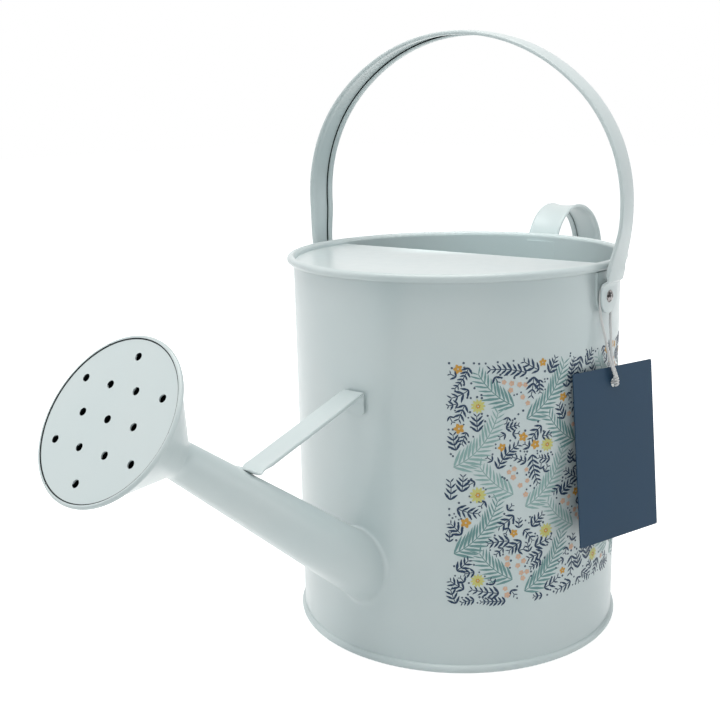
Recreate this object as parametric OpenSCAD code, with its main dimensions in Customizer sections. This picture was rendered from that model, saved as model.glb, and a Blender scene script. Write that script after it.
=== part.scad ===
// Painted sheet-steel watering can: a round body with a half-moon top cover,
// a tapered spout with a rose, a brace, a swinging carrying handle on two
// riveted ears, a fixed rear handle and a card tag on a string.
// Millimetres. +Z is up and z = 0 is the surface that the can stands on.
// The spout points to -X and the ears of the carrying handle lie on the Y axis.

/* [Body] */
// Outside diameter of the body wall
body_d = 172.4; // [160:0.2:190]
// Height from the standing surface to the top of the rim
body_h = 200; // [185:1:230]
// Thickness of the body sheet
wall_t = 0.8; // [0.6:0.1:1.2]
// Radius of the rolled rim
rim_r = 2.1; // [1.8:0.1:2.6]
// Radius of the seam bead around the foot
foot_r = 2.2; // [1.8:0.1:3]
// Width of the flat ring that the can stands on
foot_flat = 1.6; // [1:0.2:2.4]
// Height of the base disc above the standing surface
base_rise = 3.2; // [2.6:0.2:6]
// Width of the lap seam down the back of the body
lap_w = 18; // [10:1:26]
// Distance from the back's middle line to the edge of the lap
lap_edge = 5.7; // [2:0.1:9]

/* [Top cover] */
// Depth of the half-moon cover below the top of the rim
cover_drop = 3.2; // [2.6:0.2:8]
// Distance of its straight edge behind the body's axis
cover_reach = 12; // [0:1:30]
// Depth of the flange turned down round the cover
cover_flange = 5; // [3:0.5:10]

/* [Spout] */
// Slope of the spout above level
spout_angle = 37; // [32:0.5:42]
// Height at which the spout's centre line meets the wall
spout_root_h = 50.6; // [44:0.2:64]
// Outside diameter where the centre line meets the wall
spout_root_d = 31.2; // [26:0.2:36]
// Outside diameter at the neck of the rose
spout_tip_d = 17; // [13:0.2:22]
// Length of the spout along its centre line
spout_len = 146.7; // [130:0.2:170]
// Thickness of the spout and rose sheet
spout_t = 0.7; // [0.5:0.1:1]

/* [Rose] */
// Diameter of the rose over its rolled edge
rose_d = 71.6; // [64:0.2:80]
// Length of the rose from neck to face
rose_len = 38.9; // [30:0.1:48]
// Radius of the rolled edge
rose_edge_r = 1.1; // [0.9:0.1:1.6]
// Diameter of each spray hole
hole_d = 3.4; // [2.4:0.1:4]
// Distance between neighbouring spray holes
hole_pitch = 15.4; // [12:0.1:16.5]
// Turn of the hole pattern about the rose's axis
hole_turn = -2; // [-30:1:30]

/* [Brace] */
// Width of the brace strap
brace_w = 12.5; // [9:0.5:15]
// Thickness of the brace strap
brace_t = 1; // [0.8:0.1:1.4]
// Height of the brace's upper bend
brace_top_h = 142; // [136:1:156]
// Depth of the tab that is welded to the wall
brace_tab = 12; // [9:0.5:16]
// Distance from the wall to the brace's lower bend
brace_reach = 71.3; // [62:0.1:80]
// Height of the lower bend above the top of the spout
brace_gap = 4.4; // [3:0.2:8]
// Length of the foot that is soldered on the spout, measured level
brace_foot = 9.5; // [7:0.5:14]
// Depth of the turned-down edges below the strap
brace_lip = 1; // [0.6:0.1:2]

/* [Handle straps] */
// Thickness of the strap sheet
strap_t = 1; // [0.8:0.1:1.4]
// Width of each folded hem
hem_w = 3.4; // [2.4:0.1:4.4]

/* [Carrying handle] */
// Width of the carrying handle
bail_w = 16.5; // [14:0.5:20]
// Depth of the pivots below the top of the rim
pivot_drop = 17; // [16:0.5:22]
// Height of the top of the handle above the pivots
bail_rise = 129; // [120:0.2:150]
// Height of the handle's widest point above the pivots
bail_wide_rise = 43; // [36:1:50]
// Distance of its widest point outside the wall
bail_flare = 10.8; // [10:0.1:16]
// Radius of the inward curve of the lower legs
bail_leg_r = 165; // [150:5:240]
// Height above the pivots at which the hems end
bail_hem_rise = 8; // [7.5:0.5:11]
// Height above the pivots at which the flat tabs begin
bail_tab_rise = 4; // [3.6:0.2:5]

/* [Ears and rivets] */
// Radius of the ear plate's round end
ear_r = 7; // [6.4:0.1:8.4]
// Thickness of the ear plate
ear_t = 1; // [0.8:0.1:1.4]
// Height of the ear plate's top edge above the pivot
ear_top = 12; // [9:0.5:12]
// Radius of the raised boss
boss_r = 5.2; // [4.8:0.1:5.3]
// Diameter of the rivet shank
rivet_d = 4; // [3:0.1:4.6]
// Diameter of the rivet head
rivet_head_d = 6.2; // [5.8:0.1:7.2]
// Height of the rivet head
rivet_head_h = 1.3; // [1:0.1:2]

/* [Rear handle] */
// Width of the rear handle
rear_w = 20; // [17:0.5:24]
// Height of its top above the rim
rear_rise = 15; // [12:0.5:25]
// Distance from the wall to the top of its curve
rear_reach = 31.8; // [29:0.2:36]
// Gap between the wall and the handle beside the rim
rear_gap = 4.8; // [4.4:0.1:8]
// Radius of the curve on the far side
rear_outer_r = 33.6; // [30:0.2:38]
// Radius of the long curve of the grip
grip_r = 120; // [100:5:140]
// Angle that the grip turns through
grip_turn = 40; // [36:1:44]
// Height of each tab that is welded to the wall
rear_tab = 16; // [10:1:20]

/* [Tag] */
// Width of the card
tag_w = 57; // [40:1:60]
// Height of the card
tag_h = 86; // [60:1:95]
// Thickness of the card
tag_t = 0.7; // [0.5:0.1:0.9]
// Distance from the card's top edge to its hole
tag_hole_drop = 8; // [6:0.5:10]
// Diameter of the hole
tag_hole_d = 4.5; // [4:0.1:6]
// Diameter of the string
string_d = 1.4; // [1:0.1:1.5]

/* [Hidden] */

$fn = 96;
paint = "#c3d2d0";
steel = "#b9bcbd";
card = "#3b4a5c";
cotton = "#dcdad6";
big = 400;

// Gap between faces that slide on each other, and round the rivet's shank
face_gap = 0.1;
pin_gap = 0.08;
// Room for the string on each side, between the ear plate and the handle
string_gap = 0.2;
// Largest step along an arc of a strap
arc_step = 3;

// Body
body_r = body_d / 2;
inner_r = body_r - wall_t;
rim_c = [inner_r + rim_r, body_h - rim_r];
foot_c = [body_r - wall_t / 2, sqrt(foot_r * foot_r - foot_flat * foot_flat / 4)];
cover_z = body_h - cover_drop - wall_t;

// Spout and rose
spout_in = 30;
spout_slope = (spout_root_d - spout_tip_d) / 2 / spout_len;
rose_r = rose_d / 2;
rose_edge_z = rose_len - rose_edge_r;

// Height of the line along the top of the spout, at a distance from the axis
function spout_top(x) =
    spout_root_h + spout_root_d / 2 * cos(spout_angle)
    + (x - body_r + spout_root_d / 2 * sin(spout_angle))
    * tan(spout_angle - atan(spout_slope));

// Carrying handle, ears and rivets
pivot_h = body_h - pivot_drop;
boss_out = body_r + ear_t + string_d + 2 * string_gap;
tab_in = boss_out + face_gap;
tab_out = tab_in + strap_t;
head_in = tab_out + face_gap;
tail_in = boss_out - 2 * ear_t;
bail_half_w = body_r + bail_flare;
bail_wide_z = pivot_h + bail_wide_rise;
bail_shift = (bail_half_w - bail_rise + bail_wide_rise) / (2 - sqrt(2));
bail_leg_a = asin((bail_wide_rise - bail_hem_rise) / bail_leg_r);
bail_end_r = bail_w / 2 + 0.15;

// Rear handle
rear_near_r = rear_reach - rear_gap;
grip_c = [body_r + rear_reach + rear_outer_r - grip_r, body_h + rear_rise - rear_outer_r];
grip_end = grip_c + grip_r * [cos(grip_turn), -sin(grip_turn)];

// Tag: the middle of its hole and its turns about X, Y and Z
tag_hole = [1, -6.8, -43];
tag_turn = [-6, 1, -15];

// Route of the string, from the wall's outer face at the left pivot:
// from behind the card through its hole, up round the boss and down again
string_route = [
    [0.3, -4.6, -43.6], [0.25, -5.9, -42.9], [0.2, -7.4, -42.2], [-0.6, -8.5, -40.2],
    [-1.7, -8, -36.8], [-2.8, -7.2, -33.2], [-3.8, -6, -27.6], [-4.4, -4.8, -21.6],
    [-4.9, -3.5, -15.8], [-5.4, -2.3, -10], [-5.9, -1.9, -5], [-6.05, -1.9, -1.4],
    [-6.05, -1.9, 1.3], [-5.1, -1.9, 3.5], [-3.5, -1.9, 5.2], [-1.4, -1.9, 6.05],
    [1.4, -1.9, 6.05], [3.5, -1.9, 5.2], [5.1, -1.9, 3.5], [6.05, -1.9, 1.3],
    [6.05, -1.9, -1.4], [5.6, -1.9, -5], [4.4, -2.3, -10], [2.6, -3.5, -15.8],
    [0.9, -4.8, -21.6], [-0.6, -6, -27.6], [-1.1, -7.2, -33.2], [-0.1, -8, -36.8],
    [1, -8.5, -40.2], [1.8, -7.4, -42.2], [1.75, -5.9, -42.9], [1.7, -4.6, -43.6]
];

// ---- shared shapes ----

function unit(v) = v / norm(v);

// Points along an arc in the XZ plane, without its last point
function arc(centre, r, from, to) =
    let (count = ceil(abs(to - from) / arc_step))
    [
        for (i = [0:count - 1])
            let (a = from + (to - from) * i / count)
            centre + r * [cos(a), sin(a)]
    ];

// Line at a distance to the right of a way, with mitred corners
function beside(way, distance) =
    [
        for (i = [0:len(way) - 1])
            let (
                last = len(way) - 1,
                before = unit(way[max(i, 1)] - way[max(i, 1) - 1]),
                after = unit(way[min(i, last - 1) + 1] - way[min(i, last - 1)]),
                sum = before + after
            )
            way[i] + distance * [sum[1], -sum[0]] / (1 + before * after)
    ];

function reversed(way) = [for (i = [len(way) - 1:-1:0]) way[i]];

// Layer of a strap that follows a way in the XZ plane and lies to the right
// of it, from one depth to another
module layer(way, depth, width) {
    translate([0, width / 2, 0])
        rotate([90, 0, 0])
            linear_extrude(width)
                polygon(concat(beside(way, depth[0]), reversed(beside(way, depth[1]))));
}

// Two copies, along the edges of a strap
module at_edges(strap, strip) {
    for (side = [-1, 1])
        translate([0, side * (strap - strip) / 2, 0])
            children();
}

// Places a shape on the left ear's pivot, with +Z outwards
module at_pivot() {
    translate([0, 0, pivot_h]) rotate([90, 0, 0]) children();
}

// Places a shape on the spout's centre line, with +Z towards the rose
module at_spout() {
    translate([-body_r, 0, spout_root_h]) rotate([0, spout_angle - 90, 0]) children();
}

module at_rose() {
    at_spout() translate([0, 0, spout_len]) children();
}

// The spout's cone, smaller all round by the inset
module spout_cone(inset) {
    root_r = spout_root_d / 2 - inset;
    tip_r = spout_tip_d / 2 - inset;
    translate([0, 0, -spout_in])
        cylinder(h = spout_in + spout_len, r1 = root_r + spout_in * spout_slope, r2 = tip_r);
}

module body_core(r = body_r) {
    cylinder(h = body_h, r = r);
}

// ---- body ----

// Rolled cylinder with a hollow rolled rim
module body_shell() {
    wall_z = foot_c[1] - wall_t;
    color(paint)
    difference() {
        union() {
            rotate_extrude()
                difference() {
                    union() {
                        translate([inner_r, wall_z]) square([wall_t, rim_c[1] - wall_z]);
                        translate(rim_c) circle(rim_r);
                    }
                    translate(rim_c) circle(rim_r - wall_t);
                    translate([body_r, rim_c[1] - rim_r]) square([wall_t, rim_r]);
                }
            lap_seam();
        }
        at_spout() spout_cone(spout_t);
    }
}

// The inner end of the sheet, which runs out to nothing away from its edge
module lap_seam() {
    lap_z = base_rise + 2 * wall_t;
    edge_a = asin(lap_edge / inner_r);
    turn = asin(lap_w / inner_r);
    shift = wall_t / sin(turn);
    intersection() {
        difference() {
            cylinder(h = rim_c[1] - rim_r, r = inner_r + wall_t / 2);
            rotate([0, 0, edge_a - turn]) translate([0, -shift, 0]) body_core(inner_r);
        }
        rotate([0, 0, edge_a - turn / 2])
            translate([0, -inner_r * sin(turn / 2), lap_z])
                cube([big, 2 * inner_r * sin(turn / 2), body_h]);
        rotate([0, 0, edge_a]) translate([0, -big, lap_z]) cube([big, big, body_h]);
    }
}

// Recessed disc with a turned-down flange and the bead that wraps the wall
module base_plate() {
    color(paint)
    rotate_extrude()
        difference() {
            union() {
                intersection() {
                    translate(foot_c) circle(foot_r);
                    square([big, big]);
                }
                translate([0, base_rise]) square([inner_r, wall_t]);
                translate([inner_r - wall_t, foot_c[1]])
                    square([wall_t, base_rise + wall_t - foot_c[1]]);
            }
            translate([inner_r, foot_c[1] - wall_t]) square([wall_t, body_h]);
        }
}

module half_moon(inset) {
    intersection() {
        circle(inner_r - inset);
        translate([cover_reach - inset - big, -big / 2]) square([big, big]);
    }
}

module top_cover() {
    color(paint)
    translate([0, 0, cover_z])
        union() {
            linear_extrude(wall_t) half_moon(0);
            translate([0, 0, -cover_flange])
                linear_extrude(cover_flange)
                    difference() {
                        half_moon(0);
                        half_moon(wall_t);
                    }
        }
}

// ---- spout and rose ----

module spout_tube() {
    color(paint)
    difference() {
        at_spout() spout_cone(0);
        at_spout() spout_cone(spout_t);
        body_core();
    }
}

module rose_cone() {
    tip_r = spout_tip_d / 2;
    end_r = rose_r - spout_t;
    color(paint)
    at_rose()
        difference() {
            cylinder(h = rose_edge_z, r1 = tip_r, r2 = end_r);
            cylinder(h = rose_edge_z, r1 = tip_r - spout_t, r2 = end_r - spout_t);
            rolled_edge();
        }
}

module rolled_edge() {
    translate([0, 0, rose_edge_z])
        rotate_extrude()
            translate([rose_r - rose_edge_r, 0])
                circle(rose_edge_r, $fn = 48);
}

// Flat disc with a rolled edge and rings of holes in a hexagonal pattern
module rose_face() {
    color(paint)
    at_rose()
        difference() {
            union() {
                rolled_edge();
                translate([0, 0, rose_edge_z]) cylinder(h = spout_t, r = rose_r - rose_edge_r);
            }
            spray_hole();
            for (turn = [0:60:300]) {
                rotate([0, 0, hole_turn + turn + 30])
                    translate([hole_pitch, 0, 0]) spray_hole();
                rotate([0, 0, hole_turn + turn])
                    translate([hole_pitch * sqrt(3), 0, 0]) spray_hole();
            }
        }
}

module spray_hole() {
    cylinder(h = 2 * rose_len, d = hole_d, $fn = 32);
}

// ---- brace ----

// Strap with turned-down edges from the wall to the top of the spout
module spout_brace() {
    bend_x = body_r + brace_reach;
    toe_x = bend_x + brace_foot;
    top = [brace_t - body_r, brace_top_h];
    low = [-bend_x, spout_top(bend_x) + brace_gap];
    toe = [-toe_x, spout_top(toe_x) + brace_t / 2];
    lip_end = low + (top - low) * (brace_reach - brace_t / 2) / (brace_reach + brace_t);
    color(paint)
    difference() {
        union() {
            layer([toe, low, top], [0, brace_t], brace_w);
            at_edges(brace_w, brace_t)
                layer([low, lip_end], [brace_t / 2, brace_t + brace_lip], brace_t);
            translate([-body_r - brace_t, -brace_w / 2, brace_top_h - brace_tab])
                cube([2 * brace_t, brace_w, brace_tab]);
        }
        body_core();
        at_spout() spout_cone(0);
    }
}

// ---- handles ----
//
// Each handle is a strap whose edges are folded in to hems.

// Line along the outer side of the rear handle's loop, from the wall upwards
function rear_way() =
    let (
        top = [body_r + rear_reach, body_h + rear_rise],
        near_end = [body_r + rear_gap, top[1] - rear_near_r]
    )
    concat(
        arc([top[0], near_end[1]], rear_near_r, 180, 90),
        arc(top - [0, rear_outer_r], rear_outer_r, 90, 0),
        arc(grip_c, grip_r, 0, -grip_turn),
        [grip_end, [body_r - strap_t, rear_foot_z(body_r - strap_t)]]
    );

// Height at which the handle's straight lower end is at a distance from the axis
function rear_foot_z(x) = grip_end[1] - (grip_end[0] - x) / tan(grip_turn);

// Tab that lies on the wall, with its top edge at the given height
module wall_tab(top_z) {
    translate([body_r - strap_t, -rear_w / 2, top_z - rear_tab])
        cube([2 * strap_t, rear_w, rear_tab]);
}

module rear_handle() {
    way = rear_way();
    slant_z = way[0][1] - 2 * rear_gap;
    color(paint)
    difference() {
        union() {
            layer(
                concat([[body_r - strap_t, slant_z - 2 * strap_t]], way),
                [0, strap_t],
                rear_w
            );
            at_edges(rear_w, hem_w) layer(way, [strap_t / 2, 2 * strap_t], hem_w);
            wall_tab(slant_z);
            wall_tab(rear_foot_z(body_r + strap_t) + strap_t / 2);
        }
        body_core();
    }
}

// Line along the outer side of the carrying handle's arch, down to the end of
// the hems on each side. It lies across the XZ plane.
function bail_way() =
    let (
        top_r = bail_rise - bail_wide_rise + bail_shift,
        side_r = bail_half_w - bail_shift,
        leg_x = bail_half_w - bail_leg_r
    )
    concat(
        arc([-leg_x, bail_wide_z], bail_leg_r, 180 + bail_leg_a, 180),
        arc([-bail_shift, bail_wide_z], side_r, 180, 135),
        arc([0, bail_wide_z - bail_shift], top_r, 135, 45),
        arc([bail_shift, bail_wide_z], side_r, 45, 0),
        arc([leg_x, bail_wide_z], bail_leg_r, 0, -bail_leg_a),
        [[leg_x, bail_wide_z] + bail_leg_r * [cos(bail_leg_a), -sin(bail_leg_a)]]
    );

module carrying_handle() {
    way = bail_way();
    tab_top = [tab_out, pivot_h + bail_tab_rise];
    tab_end = [tab_out, pivot_h - bail_w];
    color(paint)
    difference() {
        rotate([0, 0, 90])
            union() {
                layer(
                    concat(
                        [[-tab_end[0], tab_end[1]], [-tab_top[0], tab_top[1]]],
                        way,
                        [tab_top, tab_end]
                    ),
                    [0, strap_t],
                    bail_w
                );
                at_edges(bail_w, hem_w) layer(way, [strap_t / 2, 2 * strap_t], hem_w);
            }
        at_pivot() {
            cylinder(h = big, r = rivet_d / 2 + pin_gap, center = true);
            difference() {
                translate([-big / 2, -big, -big / 2]) cube(big);
                cylinder(h = 2 * big, r = bail_end_r, center = true);
            }
        }
    }
}

// ---- ears and rivets ----

// Plate on the wall with a raised, hollow boss
module ear() {
    difference() {
        union() {
            intersection() {
                body_core(body_r + ear_t);
                at_pivot() cylinder(h = big, r = ear_r);
                translate([-big / 2, -big, 0]) cube([big, big, pivot_h + ear_top]);
            }
            intersection() {
                body_core(body_r + ear_t);
                translate([-ear_r, -big, pivot_h]) cube([2 * ear_r, big, ear_top]);
            }
            at_pivot() cylinder(h = boss_out, r = boss_r);
        }
        body_core();
        at_pivot() cylinder(h = boss_out - ear_t, r = boss_r - ear_t);
        at_pivot() cylinder(h = big, r = rivet_d / 2 + pin_gap);
    }
}

// Shank, tail inside the boss and domed head outside the handle
module rivet() {
    head_r = rivet_head_d / 2;
    dome_r = (head_r * head_r + rivet_head_h * rivet_head_h) / (2 * rivet_head_h);
    at_pivot()
        union() {
            translate([0, 0, tail_in]) cylinder(h = head_in - tail_in, d = rivet_d);
            translate([0, 0, tail_in]) cylinder(h = ear_t, r = boss_r - 1.8 * ear_t);
            translate([0, 0, head_in])
                intersection() {
                    translate([0, 0, rivet_head_h - dome_r]) sphere(dome_r);
                    cylinder(h = rivet_head_h, r = rivet_head_d);
                }
        }
}

module ear_left() {
    color(paint) ear();
}

module ear_right() {
    color(paint) mirror([0, 1, 0]) ear();
}

module rivet_left() {
    color(steel) rivet();
}

module rivet_right() {
    color(steel) mirror([0, 1, 0]) rivet();
}

// ---- tag and string ----

module hang_tag() {
    color(card)
    translate(tag_hole + [0, -body_r, pivot_h])
        rotate(tag_turn)
            difference() {
                translate([-tag_w / 2, -tag_t / 2, tag_hole_drop - tag_h])
                    cube([tag_w, tag_t, tag_h]);
                rotate([90, 0, 0]) cylinder(h = 4 * tag_t, d = tag_hole_d, center = true);
            }
}

// Direction of the route at one of its points
function heading(way, i) = unit(way[min(i + 1, len(way) - 1)] - way[max(i - 1, 0)]);

// One sideways direction at each point, each turned as little as can be from the last
function sideways(way, i, last) =
    i == len(way) ? [] :
    let (h = heading(way, i), side = unit(last - (last * h) * h))
    concat([side], sideways(way, i + 1, side));

// Round tube along a route, as one closed surface
module tube(way, d, sides) {
    across = sideways(way, 0, [1, 0, 0]);
    rings = len(way);
    points = [
        for (i = [0:rings - 1], k = [0:sides - 1])
            let (up = cross(heading(way, i), across[i]), a = 360 * k / sides)
            way[i] + d / 2 * (cos(a) * across[i] + sin(a) * up)
    ];
    walls = [
        for (i = [0:rings - 2], k = [0:sides - 1])
            let (n = (k + 1) % sides, low = i * sides, high = low + sides)
            [low + k, high + k, high + n, low + n]
    ];
    start = [for (k = [0:sides - 1]) k];
    end = [for (k = [sides - 1:-1:0]) (rings - 1) * sides + k];
    polyhedron(points, concat(walls, [start, end]), convexity = 10);
}

module tag_string() {
    color(cotton) translate([0, -body_r, pivot_h]) tube(string_route, string_d, 8);
}

body_shell();
base_plate();
top_cover();
spout_tube();
spout_brace();
rose_cone();
rose_face();
rear_handle();
ear_left();
ear_right();
rivet_left();
rivet_right();
carrying_handle();
hang_tag();
tag_string();
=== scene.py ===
import math

import bmesh
import bpy
import numpy as np
from bpy.props import FloatProperty, FloatVectorProperty, IntProperty, PointerProperty
from mathutils import Matrix, Vector


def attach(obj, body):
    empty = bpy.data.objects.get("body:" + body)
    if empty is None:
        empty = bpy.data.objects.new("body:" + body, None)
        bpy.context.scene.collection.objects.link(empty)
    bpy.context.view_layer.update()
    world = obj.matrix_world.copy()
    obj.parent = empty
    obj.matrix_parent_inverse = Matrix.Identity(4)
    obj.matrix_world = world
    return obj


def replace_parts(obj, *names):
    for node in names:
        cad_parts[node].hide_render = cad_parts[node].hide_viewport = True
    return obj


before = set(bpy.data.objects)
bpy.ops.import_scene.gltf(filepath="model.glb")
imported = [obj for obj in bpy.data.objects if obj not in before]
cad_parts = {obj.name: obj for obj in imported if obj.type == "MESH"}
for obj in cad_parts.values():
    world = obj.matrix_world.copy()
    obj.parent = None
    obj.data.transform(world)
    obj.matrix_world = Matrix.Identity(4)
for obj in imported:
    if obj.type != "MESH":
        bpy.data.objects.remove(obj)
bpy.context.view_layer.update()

bl_info = {
    "name": "Watering can",
    "version": (1, 0, 0),
    "blender": (4, 5, 0),
    "location": "3D View > Sidebar > Watering can",
    "description": "Dresses the packed watering can and lights it",
    "category": "Object",
}

MM = 0.001


def mm(value):
    """A length in millimetres, in metres."""
    return value * MM


def linear(code):
    """An sRGB hex colour as the linear RGBA that shaders take."""
    parts = [int(code[i : i + 2], 16) / 255 for i in (1, 3, 5)]
    return tuple(
        c / 12.92 if c <= 0.04045 else ((c + 0.055) / 1.055) ** 2.4 for c in parts
    ) + (1.0,)


# ---- sizes and colours ----


def length(name, text, default):
    """A size property, whose default is in millimetres."""
    return FloatProperty(
        name=name, description=text, default=mm(default), min=0.0, max=1.0,
        subtype="DISTANCE", unit="LENGTH", precision=5,
    )


def colour(name, text, code):
    """A colour property, whose default is an sRGB hex value."""
    return FloatVectorProperty(
        name=name, description=text, default=linear(code), size=4, min=0, max=1,
        subtype="COLOR",
    )


class CanSizes(bpy.types.PropertyGroup):
    body_r: length("Body radius", "Outer radius of the wall", 86.2)
    pivot_h: length("Pivot height", "Height of the carrying handle's rivets", 183)
    spout_root_h: length("Spout height", "Height at which the spout's axis meets the wall", 50.6)
    spout_root_d: length("Spout root", "Diameter of the spout at the wall", 31.2)
    spout_tip_d: length("Spout tip", "Diameter of the spout at the rose", 17)
    spout_len: length("Spout length", "Length of the spout's axis outside the wall", 146.7)
    rose_d: length("Rose diameter", "Diameter of the spray face", 71.6)
    rose_len: length("Rose length", "Length of the rose's cone", 38.9)
    spout_angle: FloatProperty(
        name="Spout angle", description="Angle of the spout above level",
        default=math.radians(37), subtype="ANGLE", unit="ROTATION",
    )
    root_fillet: length("Root fillet", "Width of the paint-filled fillet at the spout's root", 2.8)
    neck_fillet: length("Neck fillet", "Width of the fillet between spout and rose", 3.2)


class HandleSizes(bpy.types.PropertyGroup):
    strap_t: length("Thickness", "Thickness of a strap with its paint", 1)
    hem_w: length("Hem", "Width of the hem folded in along each edge", 3.4)
    bail_w: length("Carrying handle width", "Width of the carrying handle", 16.5)
    bail_half: length("Half span", "Half the carrying handle's widest span", 97)
    bail_rise: length("Rise", "Height of the carrying handle above its rivets", 129)
    bail_skew: length("Skew", "How far the front edge stands out beside the rear one", 2.2)
    bail_off: length("Offset", "How far the carrying handle bulges towards the tag's side", 1.5)
    bail_crown: length("Crown", "How far the carrying handle's middle stands proud", 0.35)
    rear_w: length("Rear handle width", "Width of the rear handle", 20)
    rear_dish: length("Dish", "How far the rear handle's middle sinks in its tight bend", 1.1)
    brace_w: length("Brace width", "Width of the spout brace", 12.5)
    slit_depth: length("Slit depth", "Depth of the open slit under a hem", 1.3)


class TagSizes(bpy.types.PropertyGroup):
    width: length("Width", "Width of the card", 57)
    height: length("Height", "Height of the card", 86)
    thickness: length("Thickness", "Thickness of the card", 0.7)
    hole_drop: length("Hole drop", "Distance from the top edge to the hole", 8)
    hole_d: length("Hole", "Diameter of the hole", 4.5)
    string_d: length("String", "Diameter of the twisted string", 1.4)


class PrintSizes(bpy.types.PropertyGroup):
    half_width: length("Half width", "Half the print's width along the wall", 88.5)
    low: length("Lower edge", "Height of the print's lower edge", 36)
    high: length("Upper edge", "Height of the print's upper edge", 159)
    column: length("Column", "Width of one repeat", 35.4)
    row: length("Row", "Height of one repeat", 44)
    ink_t: length("Ink", "Thickness of the printed ink, drawn thick enough to show", 0.06)
    seed: IntProperty(name="Seed", description="Scatter of the sprigs", default=11, min=0)


class Finishes(bpy.types.PropertyGroup):
    paint: colour("Paint", "Duck-egg powder coat", "#cdd6d7")
    bare: colour("Bare steel", "Rivets", "#8d8a8a")
    # Painted shade: a near-black colour for the faces inside the hems' slits and inside the rose,
    # standing in for the shade there.
    recess: colour("Recess", "Unpainted steel deep in a slit or behind the spray face", "#20282b")
    card: colour("Card", "Printed card of the tag", "#294156")
    cotton: colour("String", "Cotton string", "#e6e4e4")
    navy: colour("Navy ink", "Darkest ink of the print", "#133352")
    teal: colour("Teal ink", "Middle ink of the print", "#6c9494")
    pale: colour("Pale teal ink", "Lightest green ink of the print", "#8fb0ae")
    peach: colour("Peach ink", "Small petals", "#d9b299")
    ochre: colour("Ochre ink", "Buds and flower centres", "#cc9840")
    lime: colour("Yellow-green ink", "Daisy petals", "#cdca7b")


# ---- materials ----


def add(tree, kind, settings=None, **sockets):
    """Adds a node, sets its properties, and sets or links its inputs by name, or
    by index after an underscore. A node given as a value links its first output."""
    node = tree.nodes.new(kind)
    for key, value in (settings or {}).items():
        setattr(node, key, value)
    for key, value in sockets.items():
        socket = node.inputs[int(key[1:])] if key[0] == "_" else node.inputs[key.replace("_", " ")]
        if isinstance(value, bpy.types.Node):
            value = value.outputs[0]
        if isinstance(value, bpy.types.NodeSocket):
            tree.links.new(value, socket)
        else:
            socket.default_value = value
    return node


# Kinds of node with their settings, as add takes them.
MIX = "ShaderNodeMix", {"data_type": "RGBA"}
RANDOM = "FunctionNodeRandomValue", {"data_type": "FLOAT"}
FACING = "FunctionNodeAlignRotationToVector", {"axis": "X", "pivot_axis": "Z"}
PLUS, LESS, TIMES, OVER, POWER, ABSOLUTE, SINE, COSINE, LARGER = (
    ("ShaderNodeMath", {"operation": operation})
    for operation in (
        "ADD", "SUBTRACT", "MULTIPLY", "DIVIDE", "POWER", "ABSOLUTE", "SINE", "COSINE", "MAXIMUM",
    )
)


def material(name):
    """A material and its empty tree."""
    made = bpy.data.materials.new(name)
    made.use_nodes = True
    made.node_tree.nodes.clear()
    return made, made.node_tree


def toned(base, *gains):
    """A linear colour times one gain, or times one for each channel."""
    if len(gains) == 1:
        gains *= 3
    return tuple(c * k for c, k in zip(base, gains)) + (1.0,)


def object_place(tree, scale):
    """Object coordinates in multiples of a length in millimetres."""
    place = add(tree, "ShaderNodeTexCoord").outputs["Object"]
    return add(tree, "ShaderNodeMapping", None, Vector=place, Scale=(1 / mm(scale),) * 3)


def powder_coat(name, base):
    """Pale powder coat on galvanised steel: semi-gloss, with a slow drift of the
    sheet's flatness and tone over 38 mm, and a gloss that is a little uneven
    over 6 mm."""
    made, tree = material(name)
    patches = add(
        tree, "ShaderNodeTexNoise", None,
        Vector=object_place(tree, 6), Scale=1.0, Detail=1.0, Roughness=0.5,
    )
    drift = add(
        tree, "ShaderNodeTexNoise", None,
        Vector=object_place(tree, 38), Scale=1.0, Detail=2.0, Roughness=0.45,
    )
    waves = add(tree, "ShaderNodeBump", None, Strength=0.3, Distance=mm(0.7), Height=drift)
    tone = add(
        tree, "ShaderNodeMapRange", None,
        Value=drift, From_Min=0.3, From_Max=0.7, To_Min=0.0, To_Max=1.0,
    )
    shade = add(tree, *MIX, _0=tone, _6=tuple(base), _7=toned(base, 0.965, 0.985, 0.99))
    gloss = add(
        tree, "ShaderNodeMapRange", None,
        Value=patches, From_Min=0.3, From_Max=0.7, To_Min=0.29, To_Max=0.35,
    )
    shader = add(
        tree, "ShaderNodeBsdfPrincipled", None,
        Base_Color=shade.outputs[2], Roughness=gloss, Normal=waves,
        IOR=1.5, Coat_Weight=0.1, Coat_Roughness=0.12,
    )
    add(tree, "ShaderNodeOutputMaterial", None, Surface=shader)
    return made


def bare_steel(name, base):
    """Zinc-plated steel, headed cold: turning marks 0.2 mm apart, drawn
    coarser so that they show, and dark stains from 1 mm to 2 mm across."""
    made, tree = material(name)
    marks = add(
        tree, "ShaderNodeTexNoise", None,
        Vector=object_place(tree, 0.4), Scale=1.0, Detail=3.0, Roughness=0.6,
    )
    stain = add(
        tree, "ShaderNodeTexNoise", None,
        Vector=object_place(tree, 1.7), Scale=1.0, Detail=1.0, Roughness=0.5,
    )
    stained = add(
        tree, "ShaderNodeMapRange", None,
        Value=stain, From_Min=0.47, From_Max=0.56, To_Min=0.0, To_Max=1.0,
    )
    shade = add(tree, *MIX, _0=stained, _6=tuple(base), _7=toned(base, 0.12))
    rough = add(
        tree, "ShaderNodeMapRange", None,
        Value=marks, From_Min=0.3, From_Max=0.7, To_Min=0.18, To_Max=0.34,
    )
    shader = add(
        tree, "ShaderNodeBsdfPrincipled", None,
        Base_Color=shade.outputs[2], Metallic=1.0, Roughness=rough,
        Normal=add(tree, "ShaderNodeBump", None, Strength=0.6, Distance=mm(0.08), Height=marks),
    )
    add(tree, "ShaderNodeOutputMaterial", None, Surface=shader)
    return made


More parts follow.
